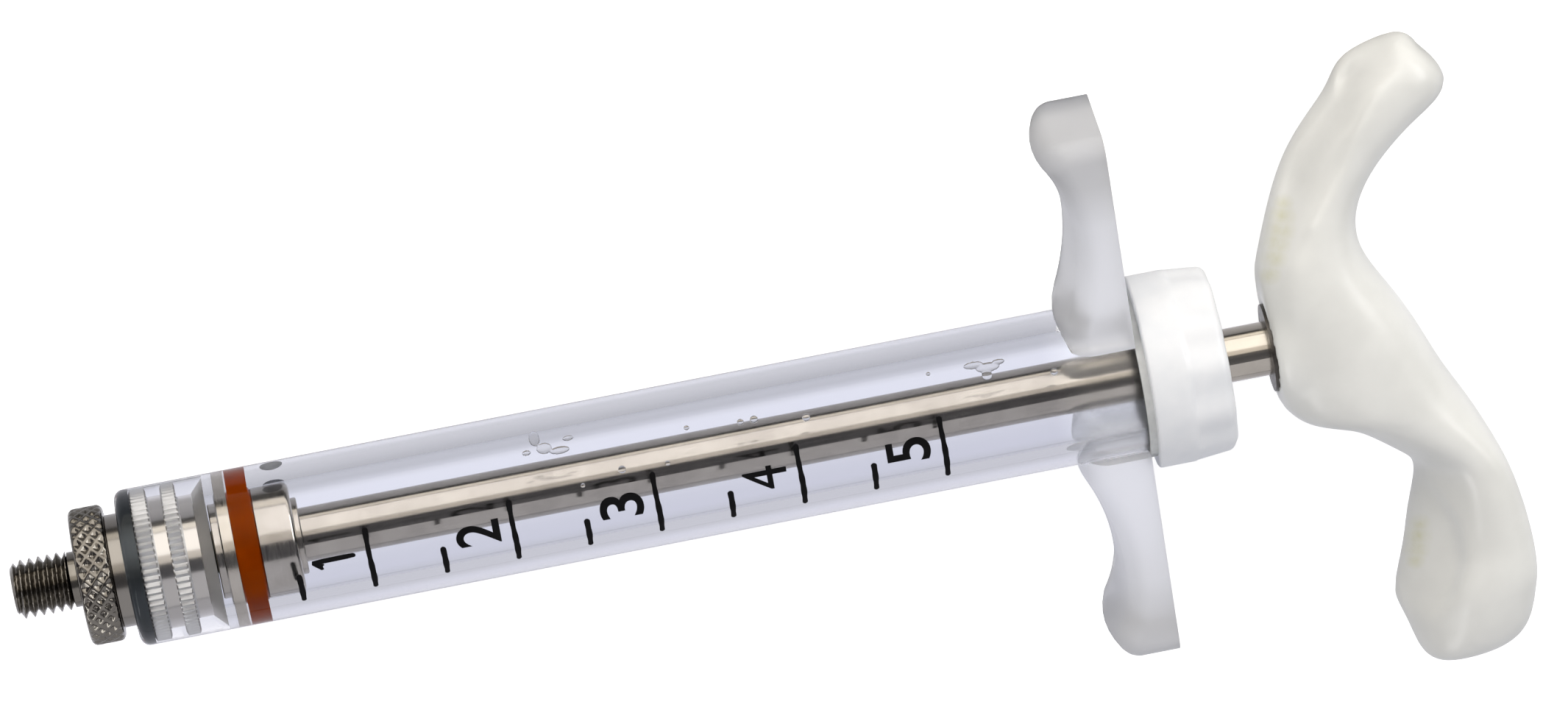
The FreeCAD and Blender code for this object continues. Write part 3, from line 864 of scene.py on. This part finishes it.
def draw_one():
    """The figure one: a thin upright with a solid flag at its top left."""
    outline = [
        (0.12, -2.0), (0.22, -2.12), (0.4, -2.1), (0.5, -1.9), (0.52, -1.0), (0.5, 1.0), (0.44, 2.05),
        (0.1, 2.12), (-0.2, 1.75), (-0.55, 1.3), (-0.5, 1.05), (-0.2, 1.12), (-0.1, 0.95), (0.0, 1.0),
        (0.04, 1.2), (0.05, 0.9), (0.07, -1.2),
    ]
    bpy.ops.mesh.primitive_circle_add(vertices=len(outline), radius=1, fill_type="NGON")
    piece = bpy.context.object
    for point, (right, up) in zip(piece.data.vertices, outline):
        point.co = (right, up, 0)
    bpy.ops.object.mode_set(mode="EDIT")
    bpy.ops.mesh.select_all(action="SELECT")
    bpy.ops.mesh.extrude_region_move(TRANSFORM_OT_translate={"value": (0, 0, 0.04)})
    bpy.ops.object.mode_set(mode="OBJECT")
    return piece


def make_numeral(text, place):
    """One figure, its top towards the nozzle, wrapped round the barrel."""
    deselect()
    if text == "1":
        piece = draw_one()
    else:
        bpy.ops.object.text_add(location=(0, 0, 0))
        letter = bpy.context.object
        letter.data.body = text
        letter.data.extrude = 0.02
        letter.data.offset = 0.012 if text != "4" else 0.0
        letter.data.resolution_u = 12
        bpy.ops.object.convert(target="MESH")
        piece = bpy.context.object
    low = Vector([min(point.co[axis] for point in piece.data.vertices) for axis in range(3)])
    high = Vector([max(point.co[axis] for point in piece.data.vertices) for axis in range(3)])
    middle = (low + high) / 2
    size = high - low
    width = size.x if text == "1" else NUMERAL_WIDTH
    bpy.ops.object.mode_set(mode="EDIT")
    for step in range(1, 10):
        bpy.ops.mesh.select_all(action="SELECT")
        bpy.ops.mesh.bisect(plane_co=(low.x + size.x * step / 10, 0, 0), plane_no=(1, 0, 0))
    bpy.ops.object.mode_set(mode="OBJECT")
    for point in piece.data.vertices:
        right = (point.co.x - middle.x) / size.x * width
        up = (point.co.y - middle.y) / size.y * NUMERAL_HEIGHT
        radius = PAINT_HIGH if point.co.z > middle.z else PAINT_LOW
        angle = NUMERAL_ANGLE + right / BARREL_RADIUS
        point.co = Vector((place - up, radius * math.sin(angle), radius * math.cos(angle))) * MM
    piece.data.update()
    return tidy_mesh(settle(piece, "figure_" + text))


def make_scale():
    """All the lines and figures, in one piece of ink."""
    parts = []
    for half in range(1, 11):
        whole = half % 2 == 0
        place = SCALE_ZERO + half * MILLILITRE / 2
        parts.append(make_tick(place, -TICK_ANGLE if whole else 0.0, TICK_ANGLE))
        if whole:
            parts.append(make_numeral(str(half // 2), place - NUMERAL_BEFORE_TICK))
    piece = join("scale_lines_and_figures", *parts)
    piece.rotation_euler = (WING_ROLL, 0, 0)
    settle(piece, "scale_lines_and_figures")
    smooth(piece, 30)
    return dress(piece, ink, "barrel", "scale_paint", "scale_ticks")


# Piston

def make_piston():
    """Nose, rear land and the orange ring pressed against the bore."""
    nose = turned("piston_nose_turned", [
        (NOSE_TIP, 0.05), (NOSE_TIP, NOSE_TIP_RADIUS), (NOSE_START, NOSE_CONE_RADIUS),
        (NOSE_START, NOSE_DISC_RADIUS - 0.1), (NOSE_START + 0.1, NOSE_DISC_RADIUS),
        (FLANGE_START, NOSE_DISC_RADIUS), (FLANGE_START, PISTON_RADIUS),
        (FLANGE_START + 0.12, WETTED_RADIUS), (SEAL_START, WETTED_RADIUS),
        (SEAL_START, SEAL_GROOVE_RADIUS), (LAND_START, SEAL_GROOVE_RADIUS), (LAND_START, 0.05),
        (NOSE_TIP, 0.05),
    ])
    smooth(nose, 30)
    dress(nose, turned_nickel, "plunger", "nickel_plate", "piston_nose")
    ring_middle = (SEAL_START + LAND_START) / 2
    half = (LAND_START - SEAL_START) / 2
    inner = SEAL_GROOVE_RADIUS + 0.05
    outline = [(SEAL_START, inner)]
    for step in range(13):
        turn = math.pi * step / 12
        swell = (SEAL_PRESSED - SEAL_EDGE) * math.sin(turn) ** 0.2
        outline.append((ring_middle - half * math.cos(turn), SEAL_EDGE + swell))
    outline += [(LAND_START, inner), (SEAL_START, inner)]
    seal = smooth(turned("piston_seal_ring", outline, 128), 60)
    dress(seal, silicone, "seal", "seal_rubber", "piston_seal")
    land = turned("piston_land_turned", [
        (LAND_START, ROD_SOCKET_RADIUS), (LAND_START, PISTON_RADIUS - 0.1),
        (LAND_START + 0.1, PISTON_RADIUS), (STEP_START - 0.5, PISTON_RADIUS),
        (STEP_START - 0.25, PISTON_RADIUS - 0.07), (STEP_START - 0.07, PISTON_RADIUS - 0.25),
        (STEP_START, PISTON_RADIUS - 0.5), (STEP_START, STEP_RADIUS), (ROD_START - 0.1, STEP_RADIUS),
        (ROD_START, STEP_RADIUS - 0.1), (ROD_START, ROD_SOCKET_RADIUS), (LAND_START, ROD_SOCKET_RADIUS),
    ])
    smooth(land, 30)
    dress(land, turned_nickel, "plunger", "nickel_plate", "piston_body")


# Cap

def make_cap():
    """White screw cap: plain front half, twelve shallow scallops in the rear half."""
    front = CAP_FRONT + CAP_FRONT_ROUND
    inner = CAP_FRONT_RADIUS - CAP_FRONT_ROUND
    outline = [(CAP_FRONT, CAP_THREAD_RADIUS), (CAP_FRONT, inner)]
    outline += corner(front, inner, CAP_FRONT_ROUND, 2, 1, 4)
    outline += rings(front, SCALLOP_START, CAP_FRONT_RADIUS, 5)
    rear = CAP_BACK - CAP_REAR_ROUND
    for step in range(19):
        along = SCALLOP_START + (rear - SCALLOP_START) * step / 18
        share = (along - SCALLOP_START) / (CAP_BACK - SCALLOP_START)
        outline.append((along, CAP_FRONT_RADIUS + (CAP_REAR_RADIUS - CAP_FRONT_RADIUS) * share))
    last = outline[-1][1]
    outline += corner(rear, last - CAP_REAR_ROUND, CAP_REAR_ROUND, 1, 0, 8)[1:]
    outline += [(CAP_BACK, CAP_HOLE_RADIUS + CAP_HOLE_CHAMFER)]
    outline += [(CAP_BACK - CAP_HOLE_CHAMFER, CAP_HOLE_RADIUS)]
    outline += [(CAP_THREAD_END, CAP_HOLE_RADIUS), (CAP_THREAD_END, CAP_THREAD_RADIUS)]
    outline += [(CAP_FRONT, CAP_THREAD_RADIUS)]
    piece = turned("screw_cap_white", outline, SCALLOPS * 20)

    def scallop(along, turn, radius):
        start = SCALLOP_START - 0.01
        if along > start and radius > SCALLOPED_FROM:
            hollow = math.cos(math.pi * wave(SCALLOPS * turn) / 2) ** 2
            return radius - SCALLOP_DEPTH * hollow * ease(along, start, SCALLOP_START + SCALLOP_RUN)
        return radius

    smooth(reshape(piece, scallop), 40)
    return dress(piece, acetal, "cap", "white_plastic", "cap")


# Palm rest

def along_ridge(ridge, up):
    """How far along the barrel a ridge runs at a height in the picture."""
    for (low_along, low_up), (high_along, high_up) in zip(ridge, ridge[1:]):
        if low_up <= up <= high_up:
            share = (up - low_up) / (high_up - low_up)
            return low_along + (high_along - low_along) * share
    return ridge[0][0] if up < ridge[0][1] else ridge[-1][0]


def make_handle():
    """The palm rest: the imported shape, remeshed, smoothed and worn like a hand-finished moulding."""
    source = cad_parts["handle"]
    piece = source.copy()
    piece.data = source.data.copy()
    piece.parent = None
    piece.matrix_world = source.matrix_world.copy()
    bpy.context.scene.collection.objects.link(piece)
    settle(piece, "palm_rest")
    tidy_mesh(piece)
    modify(piece, "REMESH", mode="VOXEL", voxel_size=0.4 * MM)
    modify(piece, "SMOOTH", factor=0.5, iterations=8)
    facing = [point.normal.dot(TOWARDS) for point in piece.data.vertices]
    for point, face in zip(piece.data.vertices, facing):
        along = point.co.x / MM
        up = point.co.dot(UPWARDS) / MM
        upper = along_ridge(UPPER_RIDGE, up) - along
        lower = along_ridge(LOWER_RIDGE, up) - along
        flat = max(0.0, upper) * FACET_SLOPE * ease(up, *FACET_STARTS)
        worn = ease(-up, *HOLLOW_STARTS) * (1 - ease(-up, *HOLLOW_ENDS))
        hollow = HOLLOW_DEPTH * ease(lower, 0.0, HOLLOW_SIDE) * worn
        point.co -= TOWARDS * ((flat + hollow) * ease(face, 0.05, 0.8) * MM)
        off_axis = math.hypot(point.co.y, point.co.z) / MM
        seat = HANDLE_FACE + SEAT_RISE * max(0.0, off_axis - SEAT_RADIUS)
        if seat < along < HANDLE_FACE + SEAT_DEPTH and off_axis > SEAT_RADIUS - 0.05:
            point.co.x -= (along - seat) * (1 - ease(off_axis, *SEAT_FADE)) * MM
    piece.data.update()
    modify(piece, "SMOOTH", factor=0.5, iterations=4)
    smooth(piece, 80)
    return dress(piece, nylon, "plunger", "ivory_plastic", "handle")


# Water and the gate's mark on the barrel

def make_bead(along, across, length, width, height):
    """A flat bead on the barrel where the picture shows it, across measured in the picture."""
    angle = VIEW_LEAN + math.asin(across / BARREL_RADIUS)
    deselect()
    bpy.ops.mesh.primitive_uv_sphere_add(segments=24, ring_count=12, radius=MM)
    piece = bpy.context.object
    piece.scale = (length, width, height)
    settle(piece, "bead")
    piece.location = (along * MM, 0, (BARREL_RADIUS - BEAD_SUNK) * MM)
    settle(piece, "bead")
    piece.rotation_euler = (-angle, 0, 0)
    return settle(piece, "bead")


def make_water():
    """Drops and two smeared films of water."""
    drops = [make_bead(*spot, size, size, size * 0.5) for *spot, size in DROPS]
    piece = join("water_drops", *drops)
    smooth(piece, 60)
    dress(piece, water, "barrel", "clear_plastic")
    films = [make_bead(*spot, length, width, FILM_HEIGHT) for *spot, length, width in SMEARS]
    piece = join("water_films", *films)
    modify(piece, "REMESH", mode="VOXEL", voxel_size=0.06 * MM)
    modify(piece, "SMOOTH", factor=0.5, iterations=4)
    smooth(piece, 60)
    dress(piece, water, "barrel", "clear_plastic")


def make_gate_mark():
    """The grey disc left where the plastic was let into the mould."""
    deselect()
    bpy.ops.mesh.primitive_circle_add(vertices=48, radius=1.0, fill_type="TRIFAN")
    piece = bpy.context.object
    bpy.ops.object.mode_set(mode="EDIT")
    bpy.ops.mesh.select_all(action="SELECT")
    bpy.ops.mesh.subdivide(number_cuts=5)
    bpy.ops.mesh.extrude_region_move(TRANSFORM_OT_translate={"value": (0, 0, GATE_THICKNESS)})
    bpy.ops.object.mode_set(mode="OBJECT")
    for point in piece.data.vertices:
        along, across, high = point.co
        angle = GATE_ANGLE + across / BARREL_RADIUS
        radius = BARREL_RADIUS + GATE_LIFT + high
        point.co = Vector((GATE_PLACE + along, radius * math.sin(angle), radius * math.cos(angle))) * MM
    piece.data.update()
    tidy_mesh(settle(piece, "gate_mark"))
    smooth(piece, 60)
    return dress(piece, gate_grey, "barrel", "clear_plastic")


# Stage: floor, camera and lamps

def make_floor():
    """White card that keeps the syringe's soft shadow; for glossy and transmission rays it turns dark and
    glows with painted room reflections that show only in metal and plastic.
    """
    deselect()
    bpy.ops.mesh.primitive_plane_add(size=4.0, location=(0.07, 0, cad_box[0].z))
    floor = settle(bpy.context.object, "floor")
    material, tree, shader = new_material("white_card_with_painted_room")
    path = add_node(tree, "ShaderNodeLightPath").outputs
    place = add_node(tree, "ShaderNodeTexCoord").outputs["Object"]
    across = between(tree, parts_of(tree, place)["Y"], PAINTED_ROOM_NEAR * MM, PAINTED_ROOM_FAR * MM)
    stops = [(share, (red, green, blue, 1)) for share, red, green, blue in PAINTED_ROOM_TONES]
    # Painted reflections: bands of a lit window, a dark ceiling and shaded sides, laid across the card
    card = fill_ramp(add_node(tree, "ShaderNodeValToRGB", {"Fac": across}), stops)
    bounced = reckon(tree, "MAXIMUM", path["Is Glossy Ray"], path["Is Transmission Ray"])
    # Glossy and transmission rays see the card dark, lit only by the painted reflections
    matt = blend(tree, bounced, (0.8, 0.8, 0.8, 1), (0.05, 0.05, 0.05, 1))
    glow = reckon(tree, "MULTIPLY_ADD", path["Is Camera Ray"], 0.65, bounced)
    tree.links.new(matt, shader.inputs["Base Color"])
    tree.links.new(blend(tree, bounced, (1, 1, 1, 1), card), shader.inputs["Emission Color"])
    tree.links.new(glow, shader.inputs["Emission Strength"])
    shader.inputs["Roughness"].default_value = 0.9
    shader.inputs["Specular IOR Level"].default_value = 0.0
    floor.data.materials.append(material)


def make_camera():
    """Camera at the photograph's angle, far off with a long lens."""
    location = Vector((CAMERA_FOOT, 0, 0)) + TOWARDS * CAMERA_DISTANCE
    target = Vector((PICTURE_CENTRE[0], 0, 0)) + UPWARDS * PICTURE_CENTRE[1]
    back = (location - target).normalized()
    along = Vector((1, 0, 0))
    along = (along - back * along.dot(back)).normalized()
    right = Matrix.Rotation(-PICTURE_ROLL, 3, back) @ along
    up = back.cross(right)
    data = bpy.data.cameras.new("camera")
    camera = bpy.data.objects.new("camera", data)
    bpy.context.scene.collection.objects.link(camera)
    turn = Matrix((right, up, back)).transposed().to_4x4()
    camera.matrix_world = Matrix.Translation(location * MM) @ turn
    data.sensor_width = SENSOR_WIDTH
    data.lens = SENSOR_WIDTH * (location - target).length / PICTURE_WIDTH
    data.clip_start = 0.01
    data.clip_end = 10.0
    bpy.context.scene.camera = camera


def make_lamp(name, first, last, length, radiance, colour, distance=600.0, along=66.0):
    """A flat soft lamp that spans two angles from straight up, towards +Y, in a plane across the barrel."""
    a = Vector((0, math.sin(math.radians(first)), math.cos(math.radians(first)))) * distance
    b = Vector((0, math.sin(math.radians(last)), math.cos(math.radians(last)))) * distance
    centre = (a + b) / 2 + Vector((along, 0, 0))
    size = (b - a).length
    data = bpy.data.lights.new(name, "AREA")
    data.shape = "RECTANGLE"
    data.size = length * MM
    data.size_y = size * MM
    data.energy = radiance * math.pi * data.size * data.size_y
    data.color = linear(colour)[:3]
    lamp = bpy.data.objects.new(name, data)
    bpy.context.scene.collection.objects.link(lamp)
    back = (a + b).normalized()
    right = Vector((1, 0, 0))
    up = back.cross(right)
    turn = Matrix((right, up, back)).transposed().to_4x4()
    lamp.matrix_world = Matrix.Translation(centre * MM) @ turn


def make_light():
    """Bright window side, dark overhead where the camera is, and a dim far side."""
    make_lamp("window", 36, 88, 1100, 2.0, "#fffaf4", along=100)
    make_lamp("window_edge", 18, 36, 1100, 1.0, "#fff6ea", along=100)
    make_lamp("window_right", 15, 75, 600, 4.8, "#ffffff", along=900)
    make_lamp("far_wall", -88, -15, 1100, 0.72, "#f2f1f6", along=120)
    make_lamp("ceiling_front", -6, 12, 300, 0.9, "#ffffff", 900, -520)
    make_lamp("wall_left", -65, -15, 300, 3.4, "#ffffff", 700, -560)
    world = bpy.data.worlds.new("room")
    world.use_nodes = True
    world.node_tree.nodes["Background"].inputs["Color"].default_value = linear("#c8c8d0")
    world.node_tree.nodes["Background"].inputs["Strength"].default_value = 0.2
    bpy.context.scene.world = world


make_nozzle()
make_bush()
make_barrel()
make_scale()
make_piston()
make_cap()
repaint("nozzle_washer", grey_rubber)
repaint("cap_washer", grey_rubber)
repaint("plunger_rod", drawn_steel)
repaint("handle_ferrule", ferrule_metal)
make_handle()
make_water()
make_gate_mark()
make_floor()
make_camera()
make_light()
bpy.context.scene.view_settings.view_transform = "Standard"
